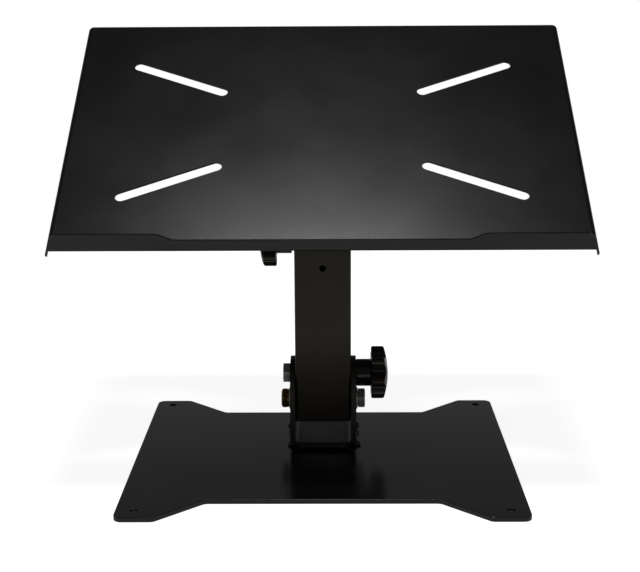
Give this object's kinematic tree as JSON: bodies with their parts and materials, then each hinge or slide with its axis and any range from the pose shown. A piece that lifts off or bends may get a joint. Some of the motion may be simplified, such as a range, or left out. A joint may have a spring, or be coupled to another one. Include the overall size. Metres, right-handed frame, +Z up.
{
  "type": "standing desk converter",
  "caption": "Tilting sheet-steel tray with a stop lip on a square mast that leans on a flat steel base; star knobs clamp both joints.",
  "frame": {"origin": "centre of the base plate's underside", "axes": "+X to the user's right, along the tray's width; +Y away from the user; +Z up"},
  "size_m": [0.444, 0.3017, 0.3721],
  "materials": {
    "base_coat": "satin black powder coat, smooth, with soft reflections",
    "bracket_coat": "satin black powder coat over thick folded plate",
    "weld_coat": "black powder coat over rippled weld bead",
    "mast_coat": "satin black powder coat with fine orange peel",
    "tray_coat": "satin black powder coat, fine texture",
    "knob_plastic": "black moulded plastic, semi-gloss",
    "insert_brass": "turned brass",
    "zinc": "bright zinc plate",
    "yellow_zinc": "yellow passivated zinc plate"
  },
  "bodies": {
    "base": {"base_plate": "base_coat", "base_bracket": "bracket_coat", "base_weld_front": "weld_coat", "base_weld_rear": "weld_coat", "base_weld_left": "weld_coat", "base_weld_right": "weld_coat", "lower_pivot_bolt": "zinc", "lower_pivot_nut": "yellow_zinc", "lower_pivot_washer_head": "zinc", "lower_pivot_washer_nut": "zinc"},
    "mast": {"mast_tube": "mast_coat", "lower_clamp_bolt": "zinc", "upper_clamp_bolt": "zinc", "upper_pivot_bolt": "zinc", "upper_pivot_nut": "yellow_zinc", "upper_pivot_washer_head": "zinc", "upper_pivot_washer_nut": "zinc"},
    "tray": {"tray": "tray_coat", "tray_bracket": "bracket_coat", "tray_weld_left": "weld_coat", "tray_weld_right": "weld_coat"},
    "lower_knob": {"lower_knob": "knob_plastic", "lower_knob_insert": "insert_brass"},
    "upper_knob": {"upper_knob": "knob_plastic", "upper_knob_insert": "insert_brass"}
  },
  "joints": [
    {"name": "mast_lean", "type": "hinge", "parent": "base", "child": "mast", "pos_m": [0, 0.041, 0.041], "axis": [1, 0, 0], "range_deg": [-40, 40]},
    {"name": "tray_tilt", "type": "hinge", "parent": "mast", "child": "tray", "pos_m": [0, 0.041, 0.2145], "axis": [1, 0, 0], "range_deg": [-35.6, 24.4]},
    {"name": "lower_knob_turn", "type": "hinge", "parent": "mast", "child": "lower_knob", "pos_m": [0.03, 0.041, 0.0655], "axis": [1, 0, 0], "range_deg": [0, 540]},
    {"name": "upper_knob_turn", "type": "hinge", "parent": "mast", "child": "upper_knob", "pos_m": [-0.03, 0.041, 0.19], "axis": [-1, 0, 0], "range_deg": [0, 540]}
  ]
}
